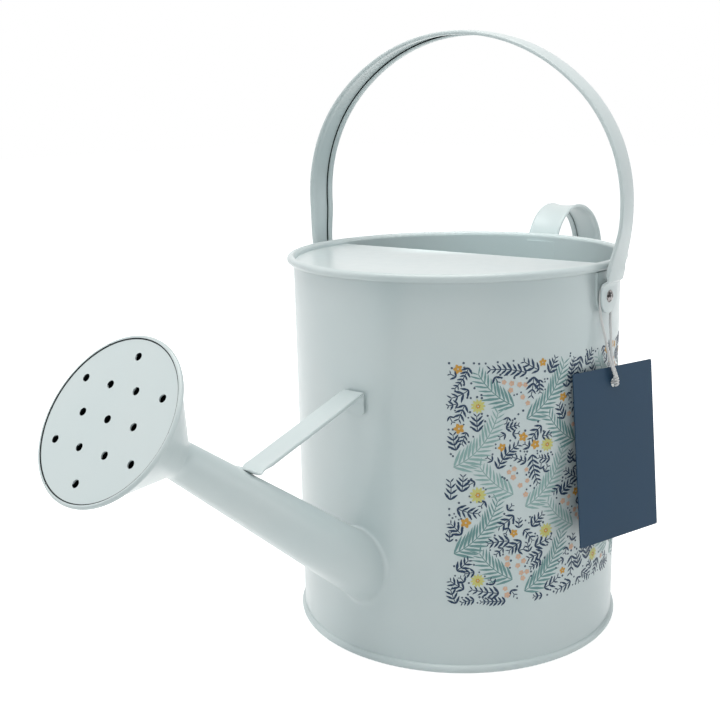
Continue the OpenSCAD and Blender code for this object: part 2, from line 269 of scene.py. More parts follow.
def raw_recess(name, base):
    """Painted shade: a dull, near-black steel colour, a little mottled over 3 mm, put inside the
    hems' slits and the rose where shade falls.
    """
    made, tree = material(name)
    mottle = add(
        tree, "ShaderNodeTexNoise", None,
        Vector=object_place(tree, 3), Scale=1.0, Detail=2.0, Roughness=0.5,
    )
    shade = add(tree, *MIX, _0=mottle, _6=tuple(base), _7=toned(base, 0.6))
    shader = add(
        tree, "ShaderNodeBsdfPrincipled", None,
        Base_Color=shade.outputs[2], Roughness=0.7, Specular_IOR_Level=0.2,
    )
    add(tree, "ShaderNodeOutputMaterial", None, Surface=shader)
    return made


def coated_card(name, base):
    """Navy-printed card, matt laminated: paper fibre 0.5 mm long under the
    film gives a faint tooth, and the ink is a little uneven over 22 mm."""
    made, tree = material(name)
    fibre = add(
        tree, "ShaderNodeTexNoise", None,
        Vector=object_place(tree, 0.5), Scale=1.0, Detail=3.0, Roughness=0.6,
    )
    drift = add(
        tree, "ShaderNodeTexNoise", None,
        Vector=object_place(tree, 22), Scale=1.0, Detail=1.0, Roughness=0.4,
    )
    shade = add(tree, *MIX, _0=drift, _6=tuple(base), _7=toned(base, 0.92, 1.03, 1.12))
    shader = add(
        tree, "ShaderNodeBsdfPrincipled", None,
        Base_Color=shade.outputs[2], Roughness=0.52, Specular_IOR_Level=0.2,
        Normal=add(tree, "ShaderNodeBump", None, Strength=0.25, Distance=mm(0.04), Height=fibre),
    )
    add(tree, "ShaderNodeOutputMaterial", None, Surface=shader)
    return made


def twisted_cotton(name, base):
    """Two-ply cotton: pale, matt, with fibres 0.15 mm apart, drawn coarser so
    that they show, and a little sheen."""
    made, tree = material(name)
    fibre = add(
        tree, "ShaderNodeTexNoise", None,
        Vector=object_place(tree, 0.35), Scale=1.0, Detail=3.0, Roughness=0.7,
    )
    shade = add(tree, *MIX, _0=fibre, _6=tuple(base), _7=toned(base, 0.82))
    shader = add(
        tree, "ShaderNodeBsdfPrincipled", None,
        Base_Color=shade.outputs[2], Roughness=0.85, Sheen_Weight=0.3,
        Normal=add(tree, "ShaderNodeBump", None, Strength=0.6, Distance=mm(0.12), Height=fibre),
    )
    add(tree, "ShaderNodeOutputMaterial", None, Surface=shader)
    return made


def ink(name, base):
    """Screen-printed enamel ink fired on the paint: the coat's gloss, with the
    slightly patchy cover of a screen, 2 mm across."""
    made, tree = material(name)
    cover = add(
        tree, "ShaderNodeTexNoise", None,
        Vector=object_place(tree, 2.2), Scale=1.0, Detail=2.0, Roughness=0.6,
    )
    thin = tuple(c + (0.6 - c) * 0.07 for c in base[:3]) + (1.0,)
    shader = add(
        tree, "ShaderNodeBsdfPrincipled", None,
        Base_Color=add(tree, *MIX, _0=cover, _6=tuple(base), _7=thin).outputs[2],
        Roughness=0.36, Specular_IOR_Level=0.2,
    )
    add(tree, "ShaderNodeOutputMaterial", None, Surface=shader)
    return made


MATERIALS = {}


def finishes():
    """The object's materials, made once from the colours."""
    if "paint" not in MATERIALS:
        tone = bpy.context.scene.can_finishes
        MATERIALS.update(
            paint=powder_coat("duck_egg_powder_coat", tone.paint),
            bare=bare_steel("zinc_plated_steel", tone.bare),
            recess=raw_recess("raw_steel_recess", tone.recess),
            card=coated_card("navy_card", tone.card),
            cotton=twisted_cotton("cotton_string", tone.cotton),
            **{
                shade: ink("enamel_ink_" + shade, getattr(tone, shade))
                for shade in ("navy", "teal", "pale", "peach", "ochre", "lime")
            },
        )
    return MATERIALS


# ---- meshes ----


def placed(name, mesh, body):
    """An object for a mesh that is already in place, riding on a body."""
    shown = bpy.data.objects.new(name, mesh)
    bpy.context.scene.collection.objects.link(shown)
    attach(shown, body)
    return shown


def piece(name, verts, faces, body, materials, indices=None):
    """A smooth mesh object, sharp only at its real edges, riding on a body."""
    mesh = bpy.data.meshes.new(name)
    mesh.from_pydata([tuple(v) for v in verts], [], [tuple(f) for f in faces])
    for made in materials:
        mesh.materials.append(made)
    if indices is not None:
        mesh.polygons.foreach_set("material_index", indices)
    mesh.polygons.foreach_set("use_smooth", [True] * len(mesh.polygons))
    mesh.validate()
    mesh.update()
    outwards(mesh)
    mesh.set_sharp_from_angle(angle=math.radians(40))
    return placed(name, mesh, body)


def outwards(mesh, merge=None):
    """Makes a mesh's faces point outwards, once points closer than merge are one."""
    work = bmesh.new()
    work.from_mesh(mesh)
    if merge:
        bmesh.ops.remove_doubles(work, verts=work.verts, dist=merge)
    bmesh.ops.recalc_face_normals(work, faces=work.faces)
    work.to_mesh(mesh)
    work.free()


def dress(node, made):
    """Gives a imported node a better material."""
    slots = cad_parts[node].data.materials
    slots.clear()
    slots.append(made)


def arc(centre, radius, start, end, step=1.6):
    """Points along an arc, in degrees and millimetres, without its last point."""
    count = max(2, math.ceil(abs(math.radians(end - start)) * radius / step))
    turns = np.radians(start + (end - start) * np.arange(count) / count)
    return np.array(centre) + radius * np.stack([np.cos(turns), np.sin(turns)], 1)


def line(start, end, step=1.6):
    """Points along a straight run, without its last point."""
    start, end = np.array(start, float), np.array(end, float)
    count = max(1, math.ceil(np.linalg.norm(end - start) / step))
    return start + (end - start) * (np.arange(count) / count)[:, None]


def travel(way):
    """Distance travelled at each point of a way."""
    return np.concatenate([[0], np.cumsum(np.linalg.norm(np.diff(way, axis=0), axis=1))])


def inward(way):
    """Unit vectors to the right of a flat way, at each of its points."""
    along = np.gradient(way, axis=0)
    along /= np.linalg.norm(along, axis=1)[:, None]
    return np.stack([along[:, 1], -along[:, 0]], 1)


def swept(way, sections, plane, across):
    """Vertices and quads of sections carried along a flat way. Each section is
    a closed line of points (across, depth), in millimetres."""
    plane, across = np.array(plane, float), np.array(across, float)
    rings = []
    for point, depth, section in zip(way, inward(way), sections):
        flat = point + section[:, 1:2] * depth
        rings.append(flat @ plane + section[:, 0:1] * across)
    return loft(np.array(rings))


def loft(rings, closed=False):
    """Quads between rings of points, with a face over each end unless closed."""
    count, size = rings.shape[:2]
    faces = []
    for i in range(count if closed else count - 1):
        j = (i + 1) % count
        for k in range(size):
            m = (k + 1) % size
            faces.append((i * size + k, i * size + m, j * size + m, j * size + k))
    if not closed:
        faces.append(tuple(range(size)))
        faces.append(tuple((count - 1) * size + k for k in range(size)))
    return rings.reshape(-1, 3) * MM, faces


def bowed(across, flat, bow):
    """Depth of a strap's outer face beside its middle: bow > 0 lifts the middle
    and bow < 0 sinks it."""
    return bow * (across / flat) ** 2 if bow > 0 else -bow * (1 - (across / flat) ** 2)


def hem_section(half, thick, hem, bow, slit):
    """Section of a strap with folded edges; slit is the depth of the gap under
    each hem."""
    flat = half - thick
    across = np.linspace(0, flat, 7)
    outer = bowed(across, flat, bow)
    edge = outer[-1]
    turn = np.radians(np.linspace(-90, 90, 9))[1:]
    right = [*zip(across, outer)]
    right += [(flat + thick * math.cos(a), edge + thick + thick * math.sin(a)) for a in turn]
    sheet, gap = 0.62 * thick, 0.46 * thick
    lip = half - hem
    inset = lip - 0.25
    right += [
        (lip + 0.35, edge + 2 * thick),
        (lip + 0.1, edge + 2 * thick - 0.08),
        (lip, edge + 2 * thick - 0.25),
        (lip, edge + sheet + gap),
        (lip + slit, edge + sheet + gap),
        (lip + slit, edge + sheet),
        (inset, bowed(inset, flat, bow) + sheet),
    ]
    right += [(u, bowed(u, flat, bow) + sheet) for u in np.linspace(inset, 0, 5)[1:-1]]
    right = np.array(right)
    middle = np.array([[0, bowed(0, flat, bow) + sheet]])
    return np.concatenate([right, middle, right[:0:-1] * [-1, 1]])


# Points of a hem's section at which the slit's three faces start.
SLIT_ROWS = (18, 19, 20)


def slit_indices(faces, size):
    """Material index 1, the near-black painted shade, on the faces inside the slits of a strap's
    two hems.
    """
    rows = {*SLIT_ROWS, *(size - 1 - k for k in SLIT_ROWS)}
    return [1 if len(f) == 4 and f[0] % size in rows else 0 for f in faces]


def plate_section(half, thick):
    """Rounded rectangle, from depth 0 to its thickness."""
    corner = min(0.3, half * 0.9, thick * 0.45)
    points = []
    for cx, cy, start in (
        (half - corner, corner, -90), (half - corner, thick - corner, 0),
        (corner - half, thick - corner, 90), (corner - half, corner, 180),
    ):
        for a in np.radians([start, start + 30, start + 60, start + 90]):
            points.append((cx + corner * math.cos(a), cy + corner * math.sin(a)))
    return np.array(points)


def rounded_end(distance, radius):
    """Share by which a half width falls short, near a rounded end."""
    near = np.clip(distance, 0.02, radius)
    return radius - np.sqrt(radius**2 - (radius - near) ** 2)


def smooth(way, step):
    """A way through the same points, on a smooth curve, with even steps."""
    points = [Vector(p) for p in way]
    points = [2 * points[0] - points[1], *points, 2 * points[-1] - points[-2]]
    fine = []
    for a, b, c, d in zip(points, points[1:], points[2:], points[3:]):
        for i in range(12):
            t = i / 12
            fine.append(
                0.5 * (2 * b + (c - a) * t + (2 * a - 5 * b + 4 * c - d) * t**2
                       + (3 * b - a - 3 * c + d) * t**3)
            )
    fine = np.array([*fine, points[-2]])
    run = travel(fine)
    steps = np.linspace(0, run[-1], max(2, round(run[-1] / step)))
    return np.stack([np.interp(steps, run, fine[:, k]) for k in range(3)], 1)


def carried(way):
    """Two unit vectors across a way at each point, turning as little as they can."""
    along = np.gradient(way, axis=0)
    along /= np.linalg.norm(along, axis=1)[:, None]
    side = np.cross(along[0], [0.3, 0.2, 0.93])
    sides = []
    for t in along:
        side = side - t * (side @ t)
        side /= np.linalg.norm(side)
        sides.append(side)
    sides = np.array(sides)
    return sides, np.cross(along, sides)


# ---- camera and stage ----

LENS_MM, SENSOR_MM = 54.4, 36
CAMERA_PLACE = (-0.48042, -0.32503, 0.27448)
CAMERA_AXES = (
    (0.62828, 0.18901, -0.75467),
    (-0.77766, 0.12474, -0.61618),
    (-0.02233, 0.97402, 0.22536),
)

# Soft boxes in metres and watts: name, place, what it faces, size, power, tint.
CAN_MIDDLE = (-0.05, 0, 0.12)
LAMPS = (
    ("left_box", (-0.75, 1.05, 0.65), CAN_MIDDLE, (1.1, 1.2), 4.6, (0.98, 1, 1)),
    ("right_box", (0.75, -1.15, 0.6), CAN_MIDDLE, (0.9, 1.2), 5.0, (0.95, 1, 1)),
    ("front_box", (-1.0, -0.68, 0.5), CAN_MIDDLE, (0.9, 0.9), 2.5, (0.92, 1, 1)),
    ("top_box", (-0.15, 0.05, 1.6), CAN_MIDDLE, (1.3, 1.3), 21.0, (1, 0.98, 0.95)),
    ("well_box", (0.006, -0.006, 0.222), (0.082, 0.02, 0.172), (0.08, 0.02), 0.01, (0.85, 1, 1)),
)


class CAN_OT_stage(bpy.types.Operator):
    """Sets the camera, the pale floor and the soft lights"""

    bl_idname = "can.stage"
    bl_label = "Camera and stage"

    def execute(self, context):
        scene = context.scene
        lens = bpy.data.cameras.new("camera")
        lens.lens, lens.sensor_width = LENS_MM, SENSOR_MM
        lens.clip_start, lens.clip_end = 0.01, 50
        camera = bpy.data.objects.new("camera", lens)
        camera.matrix_world = Matrix.Translation(CAMERA_PLACE) @ Matrix(CAMERA_AXES).to_4x4()
        scene.collection.objects.link(camera)
        scene.camera = camera
        scene.view_settings.view_transform = "Standard"
        self.floor(scene)
        self.sky(scene)
        self.lamps(scene)
        return {"FINISHED"}

    def seen(self, tree):
        """1 where a surface is seen, straight or in a reflection, and 0 where it
        only lights the object."""
        path = add(tree, "ShaderNodeLightPath").outputs
        return add(tree, *LARGER, _0=path["Is Camera Ray"], _1=path["Is Glossy Ray"])

    def floor(self, scene):
        """Plain white floor, which looks white and keeps the object's shadow."""
        made, tree = material("white_floor")
        shade = add(tree, "ShaderNodeBsdfDiffuse", None, Color=(0.86, 0.86, 0.86, 1))
        place = add(tree, "ShaderNodeNewGeometry").outputs["Position"]
        far = add(tree, "ShaderNodeVectorMath", {"operation": "LENGTH"}, _0=place).outputs["Value"]
        rise = add(
            tree, "ShaderNodeMapRange", None,
            Value=far, From_Min=0.2, From_Max=0.7, To_Min=0.7, To_Max=1.0,
        )
        glow = add(tree, "ShaderNodeEmission", None, Color=(1, 1, 1, 1), Strength=rise)
        lit = add(tree, "ShaderNodeAddShader", None, _0=shade, _1=glow)
        mix = add(tree, "ShaderNodeMixShader", None, _0=self.seen(tree), _1=shade, _2=lit)
        add(tree, "ShaderNodeOutputMaterial", None, Surface=mix)
        mesh = bpy.data.meshes.new("floor")
        side = 6
        mesh.from_pydata(
            [(-side, -side, 0), (side, -side, 0), (side, side, 0), (-side, side, 0)],
            [], [(0, 1, 2, 3)],
        )
        mesh.materials.append(made)
        floor = bpy.data.objects.new("floor", mesh)
        scene.collection.objects.link(floor)

    def sky(self, scene):
        """White surroundings, dimmer as a light than as a background."""
        scene.world = bpy.data.worlds.new("studio")
        scene.world.use_nodes = True
        tree = scene.world.node_tree
        tree.nodes.clear()
        dim = add(tree, "ShaderNodeBackground", None, Color=(0.8, 0.96, 1, 1), Strength=0.12)
        white = add(tree, "ShaderNodeBackground", None, Color=(1, 1, 1, 1), Strength=1.0)
        mix = add(tree, "ShaderNodeMixShader", None, _0=self.seen(tree), _1=dim, _2=white)
        add(tree, "ShaderNodeOutputWorld", None, Surface=mix)

    def lamps(self, scene):
        """Soft boxes: one on each side, a weaker one in front, one overhead, and
        a small one that lifts the shade inside the can."""
        for name, place, target, size, power, tint in LAMPS:
            lamp = bpy.data.lights.new(name, "AREA")
            lamp.shape, lamp.size, lamp.size_y = "RECTANGLE", *size
            lamp.energy, lamp.color = power, tint
            shown = bpy.data.objects.new(name, lamp)
            shown.location = place
            aim = Vector(target) - Vector(place)
            shown.rotation_euler = aim.to_track_quat("-Z", "Y").to_euler()
            scene.collection.objects.link(shown)
            if name == "well_box":
                lamp.spread = math.radians(100)
                shown.visible_camera = shown.visible_glossy = False


# ---- tag and string ----

# The hole in the card and the string's way, from the left rivet's place on the
# wall, in millimetres, and the card's turn about X, Y and Z in degrees.
TAG_HOLE = Vector((1, -6.8, -43))
TAG_TURN = (-6, 1, -15)
STRING_ROUTE = (
    (0.3, -4.6, -43.6), (0.25, -5.9, -42.9), (0.2, -7.4, -42.2), (-0.6, -8.5, -40.2),
    (-1.7, -8, -36.8), (-2.8, -7.2, -33.2), (-3.8, -6, -27.6), (-4.4, -4.8, -21.6),
    (-4.9, -3.5, -15.8), (-5.4, -2.3, -10), (-5.9, -1.9, -5), (-6.05, -1.9, -1.4),
    (-6.05, -1.9, 1.3), (-5.1, -1.9, 3.5), (-3.5, -1.9, 5.2), (-1.4, -1.9, 6.05),
    (1.4, -1.9, 6.05), (3.5, -1.9, 5.2), (5.1, -1.9, 3.5), (6.05, -1.9, 1.3),
    (6.05, -1.9, -1.4), (5.6, -1.9, -5), (4.4, -2.3, -10), (2.6, -3.5, -15.8),
    (0.9, -4.8, -21.6), (-0.6, -6, -27.6), (-1.1, -7.2, -33.2), (-0.1, -8, -36.8),
    (1, -8.5, -40.2), (1.8, -7.4, -42.2), (1.75, -5.9, -42.9), (1.7, -4.6, -43.6),
)


def left_pivot(scene):
    """Where the left rivet's axis meets the wall, in millimetres."""
    return np.array([0, -scene.can_sizes.body_r, scene.can_sizes.pivot_h]) / MM


def rope(name, way, radius, lay, sides=14):
    """Two-ply string along a way, in millimetres: a two-lobed section that
    turns once in each lay."""
    sides_at, rises_at = carried(way)
    angle = np.linspace(0, 2 * math.pi, sides, endpoint=False)
    rings = []
    for point, side, rise, gone in zip(way, sides_at, rises_at, travel(way)):
        lobes = radius * (0.8 + 0.2 * np.abs(np.cos(angle - 2 * math.pi * gone / lay)))
        rings.append(
            point + np.outer(lobes * np.cos(angle), side) + np.outer(lobes * np.sin(angle), rise)
        )
    verts, faces = loft(np.array(rings))
    return piece(name, verts, faces, "tag", [finishes()["cotton"]])


class CAN_OT_string(bpy.types.Operator):
    """Hangs the twisted string from the left rivet, with its hitch and its knot"""

    bl_idname = "can.string"
    bl_label = "Tag string"

    def execute(self, context):
        sizes, pivot = context.scene.can_tag, left_pivot(context.scene)
        way = smooth(np.array(STRING_ROUTE) + pivot, 0.35)
        string = rope("string", way, sizes.string_d / MM / 2, 4.2)
        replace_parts(string, "tag_string")
        hitch, knot = self.hitch(sizes, pivot), self.knot(sizes, pivot)
        return {"FINISHED"}

    def hitch(self, sizes, pivot):
        """Hitch of the same string in front of the hole, drawn into a pear."""
        turn = np.linspace(0, 1, 120)
        around = 2 * math.pi * 4.4 * turn
        wide = 0.25 + 1.0 * np.sin(math.pi * np.clip(0.12 + turn * 0.82, 0, 1)) ** 0.9
        low = np.array([0.6, -8.75, -44.4])
        high = np.array([-1.1, -8.75, -38.2])
        way = low + (high - low) * turn[:, None]
        way += np.stack([wide * np.cos(around), 0.6 * wide * np.sin(around), 0 * turn], 1)
        return rope("string_hitch", way + pivot, sizes.string_d / MM / 2 * 0.95, 3.6, 12)

    def knot(self, sizes, pivot):
        """Overhand knot behind the card, with two short ends."""
        turn = np.linspace(0, 2 * math.pi, 90)
        way = np.stack([
            1.1 * (np.sin(turn) + 2 * np.sin(2 * turn)) * 0.62,
            0.75 * -np.sin(3 * turn),
            1.1 * (np.cos(turn) - 2 * np.cos(2 * turn)) * 0.62,
        ], 1)
        start = np.array([1.0, -3.7, -44.3])
        ends = np.array([[0.7, 0.6, -2.4], [1.5, 0.9, -5.0], [1.9, 0.7, -7.6]])
        tail = smooth(np.concatenate([way[-2:], ends + way[-1] * 0.3]), 0.3)
        return rope(
            "string_knot", np.concatenate([way[:-2], tail]) + start + pivot,
            sizes.string_d / MM / 2 * 0.95, 3.6, 12,
        )


class CAN_OT_card(bpy.types.Operator):
    """Makes the plain card tag, with small round corners and a punched hole"""

    bl_idname = "can.card"
    bl_label = "Card tag"

    def execute(self, context):
        sizes = context.scene.can_tag
        mesh = self.punched(sizes)
        upright = Matrix.Rotation(math.radians(90), 4, "X")
        rx, ry, rz = (Matrix.Rotation(math.radians(a), 4, x) for a, x in zip(TAG_TURN, "XYZ"))
        place = Matrix.Translation((Vector(left_pivot(context.scene)) + TAG_HOLE) * MM)
        mesh.transform(place @ rz @ ry @ rx @ upright)
        outwards(mesh, 1e-6)
        mesh.materials.clear()
        mesh.materials.append(finishes()["card"])
        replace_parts(placed("card", mesh, "tag"), "hang_tag")
        return {"FINISHED"}

    def punched(self, sizes):
        """A flat card with its hole at the origin and softened edges."""
        outline = bpy.data.curves.new("card_outline", "CURVE")
        outline.dimensions = "2D"
        outline.fill_mode = "BOTH"
        edge, corner = mm(0.08), mm(0.8)
        outline.extrude = sizes.thickness / 2 - edge
        outline.bevel_depth = edge
        outline.bevel_resolution = 2
        half, top = sizes.width / 2 - edge, sizes.hole_drop - edge
        low = sizes.hole_drop - sizes.height + edge
        points = []
        for cx, cy, start in (
            (half - corner, top - corner, 0), (corner - half, top - corner, 90),
            (corner - half, low + corner, 180), (half - corner, low + corner, 270),
        ):
            for a in np.radians(np.linspace(start, start + 90, 5)):
                points.append((cx + corner * math.cos(a), cy + corner * math.sin(a)))
        rim = sizes.hole_d / 2 + edge
        turns = np.linspace(0, 2 * math.pi, 33)[:-1]
        for loop in (points, [(rim * math.cos(a), rim * math.sin(a)) for a in turns]):
            spline = outline.splines.new("POLY")
            spline.points.add(len(loop) - 1)
            for point, (x, y) in zip(spline.points, loop):
                point.co = (x, y, 0, 1)
            spline.use_cyclic_u = True
        rough = bpy.data.objects.new("card_rough", outline)
        bpy.context.scene.collection.objects.link(rough)
        graph = bpy.context.evaluated_depsgraph_get()
        mesh = bpy.data.meshes.new_from_object(rough.evaluated_get(graph))
        bpy.data.objects.remove(rough)
        return mesh


# ---- straps ----

# Shape of the handles, in millimetres and degrees. Bridges are the places along
# a strap where paint closes the slit under its hems.
CLOSED_SLIT = 0.04
BAIL_WIDE_RISE, BAIL_HEM_RISE, BAIL_LEG_R = 43.0, 8.0, 165.0
BAIL_SET_BACK, BAIL_TAB_OUT = 1.0, 90.1
BAIL_BRIDGES = (66, 108, 134, 178, 214, 262, 300, 338)
REAR_REACH, REAR_TOP = 31.8, 215.0
REAR_NEAR_R, REAR_FAR_R, REAR_GRIP_R, REAR_GRIP_TURN = 27.0, 33.6, 120.0, 40
REAR_BRIDGES = (14, 58, 97, 139, 170)


def bail_line(sizes, pivot):
    """The carrying handle's outer line, in the plane across the can."""
    rise, half = sizes.bail_rise / MM, sizes.bail_half / MM
    shift = (half - rise + BAIL_WIDE_RISE) / (2 - math.sqrt(2))
    z = pivot + BAIL_WIDE_RISE
    leg_in = half - BAIL_LEG_R
    leg = math.degrees(math.asin((BAIL_WIDE_RISE - BAIL_HEM_RISE) / BAIL_LEG_R))
    parts = [
        arc((-leg_in, z), BAIL_LEG_R, 180 + leg, 180),
        arc((-shift, z), half - shift, 180, 135),
        arc((0, z - shift), rise - BAIL_WIDE_RISE + shift, 135, 45),
        arc((shift, z), half - shift, 45, 0),
        arc((leg_in, z), BAIL_LEG_R, 0, -leg),
    ]
    down = np.array([math.cos(math.radians(leg)), -math.sin(math.radians(leg))])
    return np.concatenate([*parts, [np.array([leg_in, z]) + BAIL_LEG_R * down]])


def bridged(run, bridges, width=2.6):
    """How open a slit is along a strap: 1, and 0 where paint bridges it."""
    gap = np.min([np.abs(run - b) for b in bridges], axis=0)
    return np.clip((gap - width * 0.3) / (width * 0.4), 0, 1)


def with_tab(strap, tab):
    """A strap's vertices, faces and material indices, with a painted tab added."""
    (verts, faces, index), (tab_verts, tab_faces) = strap, tab
    moved = [tuple(k + len(verts) for k in f) for f in tab_faces]
    return np.concatenate([verts, tab_verts]), faces + moved, index + [0] * len(moved)


class CAN_OT_straps(bpy.types.Operator):
    """Makes the carrying handle, the rear handle and the spout brace"""

    bl_idname = "can.straps"
    bl_label = "Handles and brace"

    def execute(self, context):
        self.sizes, self.can = context.scene.can_handles, context.scene.can_sizes
        self.carrying_handle()
        self.rear_handle()
        self.brace()
        return {"FINISHED"}

    def hemmed(self, name, strap, body, node):
        """A hemmed strap, painted, with near-black painted shade in its slits, in place of its
        node.
        """
        verts, faces, index = strap
        made = finishes()
        shown = piece(name, verts, faces, body, [made["paint"], made["recess"]], index)
        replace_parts(shown, node)

    def carrying_handle(self):
        """Strap over the can. Its legs lean a little, and it bulges to the left."""
        sizes, pivot = self.sizes, self.can.pivot_h / MM
        half, thick = sizes.bail_w / MM / 2, sizes.strap_t / MM
        way = bail_line(sizes, pivot)
        run = travel(way)
        ends = np.minimum(run, run[-1] - run)
        slit = sizes.slit_depth / MM * bridged(run, BAIL_BRIDGES)
        narrow = rounded_end(ends, 3.2)
        ease = np.clip((ends - 4) / 26, 0, 1)
        ease = ease * ease * (3 - 2 * ease)
        beside = np.clip(np.abs(way[:, 0]) / (sizes.bail_half / MM), 0, 1) ** 2
        skew = sizes.bail_skew / MM / 2 * ease * beside
        way[:, 0] -= sizes.bail_off / MM * ease
        sections = [
            hem_section(half - n, thick, sizes.hem_w / MM, sizes.bail_crown / MM, CLOSED_SLIT + s)
            @ [[1, -k / half], [0, 1]] - [BAIL_SET_BACK * e, 0]
            for n, s, k, e in zip(narrow, slit, skew, ease)
        ]
        verts, faces = swept(way, sections, ((0, 1, 0), (0, 0, 1)), (-1, 0, 0))
        strap = verts, faces, slit_indices(faces, len(sections[0]))
        for side in (-1, 1):
            strap = with_tab(strap, self.end_tab(half, thick, pivot, side))
        self.hemmed("handle_strap", strap, "handle", "carrying_handle")

    def end_tab(self, half, thick, pivot, side):
        """The strap's cranked end, from inside the hems down to its round tip."""
        points = []
        for z in (14.0, 11.0, 8.5):
            leg = math.sqrt(BAIL_LEG_R**2 - (BAIL_WIDE_RISE - z) ** 2)
            points.append((self.sizes.bail_half / MM - BAIL_LEG_R + leg - 0.12, z))
        points += [(92.9, 7.6), (91.9, 6.9), (90.7, 6.2)]
        points += [(BAIL_TAB_OUT, z) for z in (4.8, -2, -8.25)]
        flat = np.array([(x, 0.0, z + pivot) for x, z in points])
        way = smooth(flat, 0.55)[:, [0, 2]]
        run = travel(way)
        sections = [
            plate_section(half - 0.25 - n, thick * 0.95)
            for n in rounded_end(run[-1] - run, half - 0.3)
        ]
        return swept(way, sections, ((0, side, 0), (0, 0, 1)), (-side, 0, 0))

    def rear_handle(self):
        """Loop of strap behind the can: over the top, down the grip and in to its
        foot, with a plain tab on the wall at each end."""
        sizes, body = self.sizes, self.can.body_r / MM
        thick, half = sizes.strap_t / MM, sizes.rear_w / MM / 2
        top = np.array([body + REAR_REACH, REAR_TOP])
        grip = top + [REAR_FAR_R - REAR_GRIP_R, -REAR_FAR_R]
        turn = math.radians(REAR_GRIP_TURN)
        end = grip + REAR_GRIP_R * np.array([math.cos(turn), -math.sin(turn)])
        foot_run = (end[0] - body + thick) / math.sin(turn)
        foot = end - foot_run * np.array([math.sin(turn), math.cos(turn)])
        loop = np.concatenate([
            arc(top - [0, REAR_NEAR_R], REAR_NEAR_R, 180, 90, 1.2),
            arc(top - [0, REAR_FAR_R], REAR_FAR_R, 90, 0, 1.2),
            arc(grip, REAR_GRIP_R, 0, -REAR_GRIP_TURN),
            line(end, foot),
            [foot],
        ])
        run = travel(loop)
        tight = np.exp(-(((run - 48) / 26) ** 2))
        slit = sizes.slit_depth / MM * bridged(run, REAR_BRIDGES)
        sections = [
            hem_section(
                half, thick, sizes.hem_w / MM, -0.02 - sizes.rear_dish / MM * t, CLOSED_SLIT + s
            )
            for t, s in zip(tight, slit)
        ]
        plane, across = ((1, 0, 0), (0, 0, 1)), (0, 1, 0)
        verts, faces = swept(loop, sections, plane, across)
        strap = verts, faces, slit_indices(faces, len(sections[0]))
        x, z = loop[0]
        low = z - 9.6
        for way in (
            [(body - 0.1, low - 16), (body - 0.3, low - 4), (x - 4.8, low), (x, z), (x, z + 3)],
            [(body - 0.1, foot[1] - 16), (body - 0.2, foot[1] - 2.4), (body + 2.1, foot[1] + 2.2)],
        ):
            flat = np.array([(x, 0.0, z) for x, z in way])
            curve = smooth(flat, 0.8)[:, [0, 2]]
            tabs = [plate_section(half - n, thick) for n in rounded_end(travel(curve), 3.0)]
            strap = with_tab(strap, swept(curve, tabs, plane, across))
        self.hemmed("rear_strap", strap, "can", "rear_handle")

    def brace(self):
        """Strap with rolled-down edges, from its foot on the spout, over a bend
        and up to its tab on the wall."""
        half, thick = self.sizes.brace_w / MM / 2, 1.0
        on_spout = ((166.9, 0.62), (163.6, 0.7), (160.0, 1.25))
        points = [(x, spout_top(self.can, x) + up) for x, up in on_spout]
        points += [
            (157.2, 122.5), (152.5, 123.75), (130, 129.94), (108, 135.99), (93, 140.12),
            (89.6, 141.05), (88.2, 141.35), (87.35, 140.9), (87.15, 139.4), (87.15, 130.2),
        ]
        flat = np.array([(-x, 0.0, z) for x, z in points])
        way = smooth(flat, 0.7)[:, [0, 2]]
        run = travel(way)
        sections = []
        for gone, left in zip(run, run[-1] - run):
            spread = 0.35 * math.exp(-((gone / 9) ** 2))
            short = rounded_end(gone, 2.2) + rounded_end(left, 1.2)
            lip = 0.9 * min(max((gone - 10) / 6, 0), 1) * min(max((left - 15) / 5, 0), 1)
            sections.append(channel_section(half - short + spread, thick, lip))
        verts, faces = swept(way, sections, ((1, 0, 0), (0, 0, 1)), (0, 1, 0))
        shown = piece("brace_strap", verts, faces, "can", [finishes()["paint"]])
        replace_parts(shown, "spout_brace")


def channel_section(half, thick, lip):
    """Section of a flat strap whose edges are rolled down by lip."""
    roll = 0.55
    right = [(0, 0), (half * 0.45, 0), (half * 0.8, 0)]
    right += [
        (half - roll + roll * math.sin(a), roll - roll * math.cos(a))
        for a in np.radians((0, 25, 50, 75, 90))
    ]
    right += [
        (half, thick + lip - 0.3), (half - 0.12, thick + lip - 0.08), (half - 0.4, thick + lip),
        (half - 0.75, thick + lip - 0.1), (half - 0.95, thick + lip * 0.7),
        (half - 1.05, thick), (half * 0.5, thick),
    ]
    right = np.array(right)
    return np.concatenate([right, [[0, thick]], right[:0:-1] * [-1, 1]])


def spout_top(can, x):
    """Height of the spout's top line at a distance from the can's axis, in
    millimetres."""
    angle, root_r = can.spout_angle, can.spout_root_d / MM / 2
    slope = math.tan(angle - math.atan((can.spout_root_d - can.spout_tip_d) / 2 / can.spout_len))
    out = x - can.body_r / MM + root_r * math.sin(angle)
    return can.spout_root_h / MM + root_r * math.cos(angle) + out * slope


# ---- painted steel ----

# How far the rose's cone stops within its rim and short of its spray face.
ROSE_RIM, FACE_DEPTH = 0.7, 1.1


def spout_line(can):
    """The spout's root on the wall in millimetres, and the directions along its
    axis, up from it and across it."""
    root = np.array([-can.body_r, 0, can.spout_root_h]) / MM
    axis = np.array([-math.cos(can.spout_angle), 0, math.sin(can.spout_angle)])
    side = np.array([0, 1.0, 0])
    return root, axis, np.cross(side, axis), side


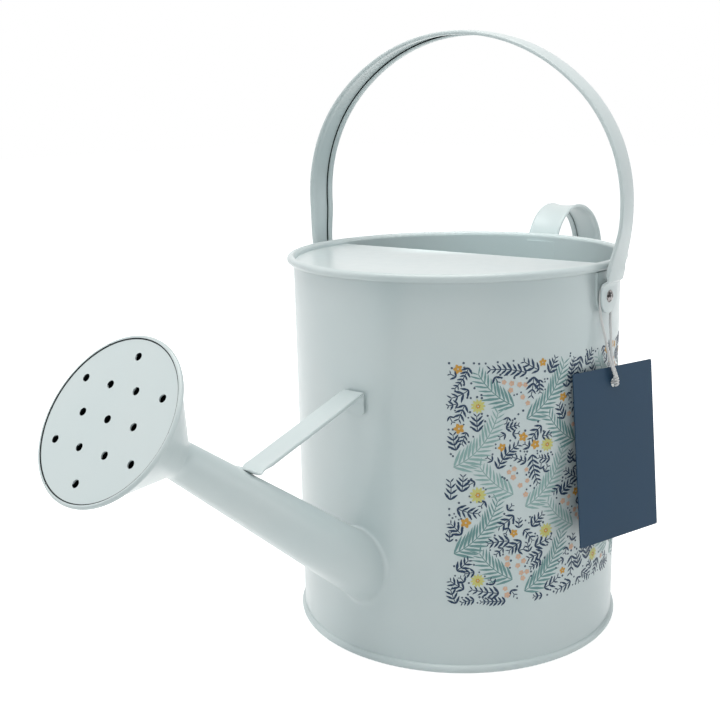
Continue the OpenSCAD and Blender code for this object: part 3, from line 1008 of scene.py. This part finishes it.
class CAN_OT_steel(bpy.types.Operator):
    """Paints the can's packed sheet pieces, and puts near-black painted shade inside the rose"""

    bl_idname = "can.steel"
    bl_label = "Can, spout and rose"

    def execute(self, context):
        for node in (
            "body_shell", "base_plate", "top_cover", "spout_tube", "spout_brace",
            "rose_cone", "rose_face", "ear_left", "ear_right",
        ):
            dress(node, finishes()["paint"])
        self.shade_rose_inside(context.scene.can_sizes)
        return {"FINISHED"}

    def shade_rose_inside(self, can):
        """Gives the faces inside the rose the near-black painted shade."""
        axis = Vector((-math.cos(can.spout_angle), 0, math.sin(can.spout_angle)))
        root = Vector((-can.body_r, 0, can.spout_root_h))
        for node in ("rose_cone", "rose_face"):
            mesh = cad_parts[node].data
            mesh.materials.append(finishes()["recess"])
            for face in mesh.polygons:
                out = face.center - root
                out = (out - axis * out.dot(axis)).normalized()
                back = node == "rose_face" and face.normal.dot(axis) < -0.7
                if back or face.normal.dot(out) < -0.3:
                    face.material_index = 1


class CAN_OT_rivets(bpy.types.Operator):
    """Gives the two rivets their bare steel"""

    bl_idname = "can.rivets"
    bl_label = "Rivets"

    def execute(self, context):
        for node in ("rivet_left", "rivet_right"):
            dress(node, finishes()["bare"])
        return {"FINISHED"}


class CAN_OT_fillets(bpy.types.Operator):
    """Fills the corners at the spout's root and the rose's neck"""

    bl_idname = "can.fillets"
    bl_label = "Solder fillets"

    def execute(self, context):
        can = context.scene.can_sizes
        self.ringed("root_fillet", self.root_rings(can))
        self.ringed("neck_fillet", self.neck_rings(can))
        return {"FINISHED"}

    def ringed(self, name, rings):
        """A closed ring of paint, lofted from its sections."""
        verts, faces = loft(np.array(rings), closed=True)
        piece(name, verts, faces, "can", [finishes()["paint"]])

    def hollow(self, start, corner, end):
        """Nine points on a curve from start to end, drawn towards a corner."""
        t = np.linspace(0, 1, 9)[:, None]
        return (1 - t) ** 2 * start + 2 * t * (1 - t) * corner + t**2 * end

    def root_rings(self, can):
        """Solder and paint that fill the corner between spout and wall."""
        body, root_r = can.body_r / MM, can.spout_root_d / MM / 2
        tip_r, run, reach = can.spout_tip_d / MM / 2, can.spout_len / MM, can.root_fillet / MM
        root, axis, up, side = spout_line(can)

        def cone(turn, along):
            r = root_r + (tip_r - root_r) * along / run
            return root + axis * along + r * (math.cos(turn) * up + math.sin(turn) * side)

        rings = []
        for turn in np.linspace(0, 2 * math.pi, 120, endpoint=False):
            low, high = -30.0, 60.0
            for _ in range(40):
                middle = (low + high) / 2
                x, y, z = cone(turn, middle)
                if math.hypot(x, y) > body:
                    high = middle
                else:
                    low = middle
            corner = cone(turn, high)
            on_cone = cone(turn, high + reach)
            wall_normal = np.array([corner[0], corner[1], 0]) / body
            out = corner - root - axis * ((corner - root) @ axis)
            out -= wall_normal * (out @ wall_normal)
            out /= np.linalg.norm(out)
            on_wall = corner + out * reach * 0.8
            on_wall[:2] *= (body + 0.02) / math.hypot(*on_wall[:2])
            lifted = corner + 0.1 * (on_cone - corner) + 0.1 * (on_wall - corner)
            off_axis = on_cone - root - axis * ((on_cone - root) @ axis)
            rings.append(np.concatenate([self.hollow(on_cone, lifted, on_wall), [
                on_wall - wall_normal * 0.4,
                corner - wall_normal * 0.5 - out * 0.5,
                on_cone - 0.5 * off_axis / root_r,
            ]]))
        return rings

    def neck_rings(self, can):
        """Solder and paint round the neck between spout and rose."""
        tip_r, rose_r = can.spout_tip_d / MM / 2, can.rose_d / MM / 2 - ROSE_RIM
        run, reach = can.spout_len / MM, can.neck_fillet / MM
        cone_len = can.rose_len / MM - FACE_DEPTH
        slope = (can.spout_root_d - can.spout_tip_d) / 2 / can.spout_len
        flare = (rose_r - tip_r) / cone_len
        before = np.array([run - reach, tip_r + slope * reach + 0.03])
        after = np.array([run + reach * 0.7, tip_r + flare * reach * 0.7 + 0.03])
        profile = np.concatenate([
            self.hollow(before, np.array([run, tip_r + 0.25]), after),
            [after - [0, 0.4], [run, tip_r - 0.35], before - [0, 0.4]],
        ])
        root, axis, up, side = spout_line(can)
        return [
            root + np.outer(profile[:, 0], axis)
            + np.outer(profile[:, 1], math.cos(turn) * up + math.sin(turn) * side)
            for turn in np.linspace(0, 2 * math.pi, 72, endpoint=False)
        ]


# ---- print ----


def socket(tree, name, kind, default=None):
    """Gives a tree an input, and returns its identifier."""
    made = tree.interface.new_socket(name=name, in_out="INPUT", socket_type=kind)
    if default is not None:
        made.default_value = default
    return made.identifier


def leaf(tree, length_in, width_in, ink_in, point_in):
    """A flat, closed leaf shape along +X, more pointed as point_in grows."""
    disc = add(tree, "GeometryNodeMeshCircle", {"fill_type": "NGON"}, Vertices=8, Radius=1.0)
    at = add(
        tree, "ShaderNodeSeparateXYZ", None, Vector=add(tree, "GeometryNodeInputPosition")
    ).outputs
    along = add(tree, *TIMES, _0=add(tree, *PLUS, _0=at[0], _1=1.0), _1=0.5)
    taper = add(tree, *LESS, _0=1.0, _1=add(tree, *TIMES, _0=along, _1=0.35))
    point = add(tree, *POWER, _0=add(tree, *ABSOLUTE, _0=at[1]), _1=point_in)
    wide = add(tree, *TIMES, _0=at[1], _1=add(tree, *TIMES, _0=taper, _1=point))
    flat = add(
        tree, "GeometryNodeSetPosition", None, Geometry=disc,
        Position=add(
            tree, "ShaderNodeCombineXYZ", None,
            X=add(tree, *TIMES, _0=along, _1=length_in),
            Y=add(tree, *TIMES, _0=wide, _1=add(tree, *TIMES, _0=width_in, _1=0.6)), Z=0.0,
        ),
    )
    both = add(tree, "GeometryNodeJoinGeometry")
    for part in (
        add(tree, "GeometryNodeExtrudeMesh", {"mode": "FACES"}, Mesh=flat, Offset_Scale=ink_in),
        add(tree, "GeometryNodeFlipFaces", None, Mesh=flat),
    ):
        tree.links.new(part.outputs[0], both.inputs[0])
    return add(tree, "GeometryNodeMergeByDistance", None, Geometry=both, Distance=1e-7)


def wrapped(tree, geometry, radius_in, lift_in):
    """Bends a flat layout (X along the wall, Y upwards) round the can's left side."""
    real = add(tree, "GeometryNodeRealizeInstances", None, Geometry=geometry)
    at = add(
        tree, "ShaderNodeSeparateXYZ", None, Vector=add(tree, "GeometryNodeInputPosition")
    ).outputs
    angle = add(tree, *OVER, _0=at[0], _1=radius_in)
    out = add(tree, *PLUS, _0=add(tree, *PLUS, _0=radius_in, _1=lift_in), _1=at[2])
    right = add(tree, *TIMES, _0=out, _1=add(tree, *SINE, _0=angle))
    back = add(tree, *TIMES, _0=out, _1=add(tree, *COSINE, _0=angle))
    return add(
        tree, "GeometryNodeSetPosition", None, Geometry=real,
        Position=add(
            tree, "ShaderNodeCombineXYZ", None,
            X=right, Y=add(tree, *TIMES, _0=back, _1=-1.0), Z=at[1],
        ),
    )


def finish_tree(tree, geometry, material_in):
    """Ends a tree in Realize Instances and Set Material."""
    real = add(tree, "GeometryNodeRealizeInstances", None, Geometry=geometry)
    tinted = add(tree, "GeometryNodeSetMaterial", None, Geometry=real, Material=material_in)
    tree.interface.new_socket(name="Geometry", in_out="OUTPUT", socket_type="NodeSocketGeometry")
    add(tree, "NodeGroupOutput", None, _0=tinted)


def begin_tree(name, inputs):
    """A tree with named inputs, their identifiers, and the sockets they give."""
    tree = bpy.data.node_groups.new(name, "GeometryNodeTree")
    ids = {"Geometry": socket(tree, "Geometry", "NodeSocketGeometry")}
    for key, default in inputs.items():
        kind = "NodeSocketInt" if isinstance(default, int) else "NodeSocketFloat"
        ids[key] = socket(tree, key, kind, default)
    ids["Material"] = socket(tree, "Material", "NodeSocketMaterial")
    return tree, ids, add(tree, "NodeGroupInput").outputs


def sprig_tree():
    """Pairs of leaves along stems, smaller towards the tip."""
    tree, ids, given = begin_tree("leaf_sprigs", {
        "Leaf length": mm(3), "Leaf width": mm(1.2), "Spacing": mm(1.5), "Lean": 0.8,
        "Stem width": mm(0.4), "Radius": mm(86), "Lift": 0.0, "Ink": mm(0.06), "Seed": 0,
    })
    stems = add(tree, "GeometryNodeMeshToCurve", None, Mesh=given["Geometry"])
    points = add(
        tree, "GeometryNodeResampleCurve", {"mode": "LENGTH"},
        Curve=stems, Length=given["Spacing"],
    )
    share = add(tree, "GeometryNodeSplineParameter").outputs["Factor"]
    fall = add(tree, *TIMES, _0=add(tree, *POWER, _0=share, _1=2.0), _1=0.5)
    size = add(
        tree, *TIMES,
        _0=add(tree, *RANDOM, Min=0.82, Max=1.12, Seed=given["Seed"]).outputs[1],
        _1=add(tree, *LESS, _0=1.05, _1=fall),
    )
    one = leaf(tree, given["Leaf length"], given["Leaf width"], given["Ink"], 0.8)
    ahead = add(tree, *FACING, Vector=add(tree, "GeometryNodeInputTangent"))
    parts = add(tree, "GeometryNodeJoinGeometry")
    for sign in (1.0, -1.0):
        lean = add(
            tree, "ShaderNodeCombineXYZ", None,
            Z=add(tree, *TIMES, _0=given["Lean"], _1=sign),
        )
        turn = add(
            tree, "FunctionNodeRotateRotation", {"rotation_space": "LOCAL"}, Rotation=ahead,
            Rotate_By=add(tree, "FunctionNodeEulerToRotation", None, Euler=lean),
        )
        leaves = add(
            tree, "GeometryNodeInstanceOnPoints", None,
            Points=points, Instance=one, Rotation=turn, Scale=size,
        )
        tree.links.new(leaves.outputs[0], parts.inputs[0])
    rail = add(
        tree, "GeometryNodeCurvePrimitiveQuadrilateral", None,
        _0=given["Stem width"], _1=given["Ink"],
    )
    stem = add(
        tree, "GeometryNodeCurveToMesh", None, Curve=points, Profile_Curve=rail, Fill_Caps=True
    )
    tree.links.new(stem.outputs[0], parts.inputs[0])
    whole = wrapped(tree, parts, given["Radius"], given["Lift"])
    finish_tree(tree, whole, given["Material"])
    return tree, ids


def blossom_tree():
    """Rings of petals at points, each turned at random."""
    tree, ids, given = begin_tree("blossoms", {
        "Petals": 5, "Petal length": mm(1.5), "Petal width": mm(1.2), "Inner radius": mm(0.4),
        "Radius": mm(86), "Lift": 0.0, "Ink": mm(0.06), "Seed": 0,
    })
    ring = add(
        tree, "GeometryNodeMeshCircle", None,
        Vertices=given["Petals"], Radius=given["Inner radius"],
    )
    petal = leaf(tree, given["Petal length"], given["Petal width"], given["Ink"], 0.15)
    turned = add(tree, *FACING, Vector=add(tree, "GeometryNodeInputPosition"))
    flower = add(
        tree, "GeometryNodeInstanceOnPoints", None, Points=ring, Instance=petal, Rotation=turned
    )
    whole = add(tree, "GeometryNodeRealizeInstances", None, Geometry=flower)
    spin = add(tree, *RANDOM, Min=0.0, Max=6.28, Seed=given["Seed"]).outputs[1]
    size = add(tree, *RANDOM, Min=0.8, Max=1.15, Seed=given["Seed"]).outputs[1]
    turn = add(
        tree, "FunctionNodeEulerToRotation", None,
        Euler=add(tree, "ShaderNodeCombineXYZ", None, Z=spin),
    )
    spread = add(
        tree, "GeometryNodeInstanceOnPoints", None,
        Points=given["Geometry"], Instance=whole, Rotation=turn, Scale=size,
    )
    whole = wrapped(tree, spread, given["Radius"], given["Lift"])
    finish_tree(tree, whole, given["Material"])
    return tree, ids


def grown(name, verts, edges, tree, ids, values, made):
    """Runs a tree on a layout and keeps the result as a plain mesh."""
    mesh = bpy.data.meshes.new(name + "_layout")
    mesh.from_pydata([(mm(x), mm(y), 0) for x, y in verts], edges, [])
    source = bpy.data.objects.new(name + "_layout", mesh)
    bpy.context.scene.collection.objects.link(source)
    modifier = source.modifiers.new("grow", "NODES")
    modifier.node_group = tree
    for key, value in {**values, "Material": made}.items():
        modifier[ids[key]] = value
    graph = bpy.context.evaluated_depsgraph_get()
    result = bpy.data.meshes.new_from_object(source.evaluated_get(graph), depsgraph=graph)
    source.modifiers.remove(modifier)
    bpy.data.objects.remove(source)
    result.name = name
    return placed(name, result, "can")


class Meadow:
    """Lays out sprigs and blossoms on the flat print so that they don't meet."""

    def __init__(self, sizes):
        self.half, self.low, self.high = sizes.half_width / MM, sizes.low / MM, sizes.high / MM
        self.column, self.row = sizes.column / MM, sizes.row / MM
        self.draw = np.random.RandomState(sizes.seed)
        self.taken, self.room = np.zeros((0, 2)), np.zeros(0)

    def inside(self, point, margin):
        """Whether a point lies within the panel, less a margin."""
        x, y = point
        return abs(x) < self.half - margin and self.low + margin < y < self.high - margin

    def free(self, point, need):
        """Whether a point keeps its need clear of all that is taken."""
        if not len(self.taken):
            return True
        gaps = np.hypot(*(self.taken - point).T) - self.room
        return gaps.min() > need

    def take(self, points, room):
        """Keeps the room round some points from what comes later."""
        self.taken = np.concatenate([self.taken, points])
        self.room = np.concatenate([self.room, np.full(len(points), float(room))])

    def stem(self, start, heading, bend, longest, margin, need, step=1.5):
        """A stem that curls as it grows and stops before it meets another."""
        points, heading, gone = [np.array(start, float)], float(heading), 0.0
        while gone < longest:
            heading += bend * step
            ahead = points[-1] + step * np.array([math.cos(heading), math.sin(heading)])
            if not self.inside(ahead, margin) or not self.free(ahead, need):
                break
            points.append(ahead)
            gone += step
        return np.array(points)


def polylines(stems):
    """Vertices and edges of all the stems as one mesh."""
    verts, edges = [], []
    for stem in stems:
        edges += [(len(verts) + k, len(verts) + k + 1) for k in range(len(stem) - 1)]
        verts += [tuple(p) for p in stem]
    return verts, edges


# Inks and sizes of the print in millimetres. Sprigs: lift off the wall, leaf length,
# leaf width, spacing and lean in radians. Blossoms: lift, petals, petal length,
# petal width and inner radius.
SPRIGS = (
    ("ferns", "teal", 0.02, 9.0, 1.3, 2.6, 0.7),
    ("pale_ferns", "pale", 0.02, 8.4, 1.25, 2.6, 0.74),
    ("sprigs", "navy", 0.03, 4.6, 1.25, 2.3, 0.78),
    ("short_sprigs", "navy", 0.03, 3.2, 1.05, 1.9, 0.85),
)
BLOSSOMS = (
    ("daisies", "lime", 0.03, 11, 2.7, 1.35, 0.9),
    ("eyes", "ochre", 0.05, 6, 0.9, 0.9, 0.35),
    ("blossoms", "peach", 0.04, 5, 1.3, 1.25, 0.15),
    ("buds", "ochre", 0.03, 5, 2.1, 1.7, 0.3),
    ("berries", "navy", 0.03, 5, 0.45, 0.55, 0.1),
)


class CAN_OT_print(bpy.types.Operator):
    """Prints the leaf and flower panel on the can's left side"""

    bl_idname = "can.print"
    bl_label = "Leaf print"

    def execute(self, context):
        scene = context.scene
        sizes, made = scene.can_print, finishes()
        plot = Meadow(sizes)
        stems, spots = {}, {}
        spots["daisies"] = self.lattice(plot)
        for spot in spots["daisies"]:
            plot.take(np.array([spot]), 3.4)
        ferns = self.ferns(plot)
        stems["ferns"], stems["pale_ferns"] = ferns[::2], ferns[1::2]
        spots["eyes"] = spots["daisies"]
        spots["blossoms"] = self.clusters(plot, spots["daisies"])
        spots["buds"] = self.scatter(plot, 34, 2.2, 1.6)
        stems["sprigs"] = self.sprigs(plot, 34, 2.1, 5)
        stems["short_sprigs"] = self.sprigs(plot, 12, 1.35, 2)
        spots["berries"] = self.scatter(plot, 420, 0.7, 0.25)
        common = {"Radius": scene.can_sizes.body_r, "Ink": sizes.ink_t}
        tree, ids = sprig_tree()
        for name, shade, lift, leaf_l, leaf_w, gap, lean in SPRIGS:
            verts, edges = polylines(stems[name])
            grown("print_" + name, verts, edges, tree, ids, {
                **common, "Leaf length": mm(leaf_l), "Leaf width": mm(leaf_w),
                "Spacing": mm(gap), "Lean": lean, "Stem width": mm(0.4),
                "Lift": mm(lift), "Seed": 3,
            }, made[shade])
        tree, ids = blossom_tree()
        for name, shade, lift, petals, petal_l, petal_w, inner in BLOSSOMS:
            grown("print_" + name, spots[name], [], tree, ids, {
                **common, "Petals": petals, "Petal length": mm(petal_l),
                "Petal width": mm(petal_w), "Inner radius": mm(inner),
                "Lift": mm(lift), "Seed": 5,
            }, made[shade])
        return {"FINISHED"}

    def lattice(self, plot):
        """Half-drop lattice points inside the print."""
        spots = []
        for i in range(int(2 * plot.half // plot.column) + 1):
            x = -plot.half + (i + 0.42) * plot.column
            for j in range(-1, 4):
                y = plot.low + (j + 0.3 + 0.5 * (i % 2)) * plot.row
                if plot.inside((x, y), 5):
                    spots.append((x, y))
        return spots

    def ferns(self, plot):
        """Curling fern fronds, which rise from each column and lean to either side."""
        stems = []
        for turn, right, up, longest in ((1, 4, 0.0, 34), (-1, 33, 0.66, 24)):
            for i in range(int(2 * plot.half // plot.column) + 2):
                x = -plot.half + (i - 0.02) * plot.column
                for j in range(-1, 4):
                    y = plot.low + (j + 0.62 + 0.5 * (i % 2)) * plot.row
                    start = np.array([x + right, y + up * plot.row])
                    if not plot.inside(start, 2):
                        continue
                    stem = plot.stem(
                        start, math.pi / 2 - turn * 1.15, turn * 0.026, longest, 4.0, 2.6
                    )
                    if len(stem) > 5:
                        plot.take(stem, 4.0)
                        stems.append(stem)
        return stems

    def clusters(self, plot, daisies):
        """Blossoms in loose groups between the daisies."""
        spots = []
        for x, y in daisies:
            middle = np.array([x + plot.column * 0.48, y + plot.row * 0.08])
            for _ in range(60):
                spot = middle + plot.draw.normal(0, 4.6, 2)
                if plot.inside(spot, 2.2) and plot.free(spot, 1.3) and len(spots) < 110:
                    plot.take(spot[None], 1.6)
                    spots.append(tuple(spot))
        return spots

    def scatter(self, plot, count, room, need):
        """Points that keep clear of what is there and of each other."""
        spots = []
        for _ in range(count * 14):
            spot = np.array([
                plot.draw.uniform(-plot.half + room, plot.half - room),
                plot.draw.uniform(plot.low + room, plot.high - room),
            ])
            if len(spots) < count and plot.free(spot, need + room * 0.4):
                plot.take(spot[None], room)
                spots.append(tuple(spot))
        return spots

    def sprigs(self, plot, longest, room, least):
        """Curved stems that fill what is left."""
        stems = []
        for _ in range(9000):
            start = np.array([
                plot.draw.uniform(-plot.half + 1, plot.half - 1),
                plot.draw.uniform(plot.low + 1, plot.high - 1),
            ])
            heading = plot.draw.uniform(0, 2 * math.pi)
            bend = plot.draw.uniform(-0.05, 0.05)
            if not plot.free(start, room * 0.8):
                continue
            stem = plot.stem(start, heading, bend, longest, room * 0.8, room * 0.8)
            if len(stem) > least:
                plot.take(stem, room)
                stems.append(stem)
        return stems


# ---- panel and run ----

OPERATORS = (
    CAN_OT_stage, CAN_OT_string, CAN_OT_card, CAN_OT_straps, CAN_OT_steel, CAN_OT_rivets,
    CAN_OT_fillets, CAN_OT_print,
)
GROUPS = {
    "can_sizes": CanSizes,
    "can_handles": HandleSizes,
    "can_tag": TagSizes,
    "can_print": PrintSizes,
    "can_finishes": Finishes,
}


class CAN_PT_panel(bpy.types.Panel):
    """Lists the can's pieces, sizes and colours"""

    bl_idname = "CAN_PT_panel"
    bl_label = "Watering can"
    bl_space_type = "VIEW_3D"
    bl_region_type = "UI"
    bl_category = "Watering can"

    def draw(self, context):
        for operator in OPERATORS:
            self.layout.operator(operator.bl_idname)
        for name, group in GROUPS.items():
            box = self.layout.box()
            for key in group.__annotations__:
                box.prop(getattr(context.scene, name), key)


def register():
    for made in (*GROUPS.values(), *OPERATORS, CAN_PT_panel):
        bpy.utils.register_class(made)
    for name, group in GROUPS.items():
        setattr(bpy.types.Scene, name, PointerProperty(type=group))


def unregister():
    for name in GROUPS:
        delattr(bpy.types.Scene, name)
    for made in (CAN_PT_panel, *reversed(OPERATORS), *reversed(list(GROUPS.values()))):
        bpy.utils.unregister_class(made)


def main():
    register()
    for operator in OPERATORS:
        group, name = operator.bl_idname.split(".")
        getattr(getattr(bpy.ops, group), name)()


if __name__ == "__main__":
    main()
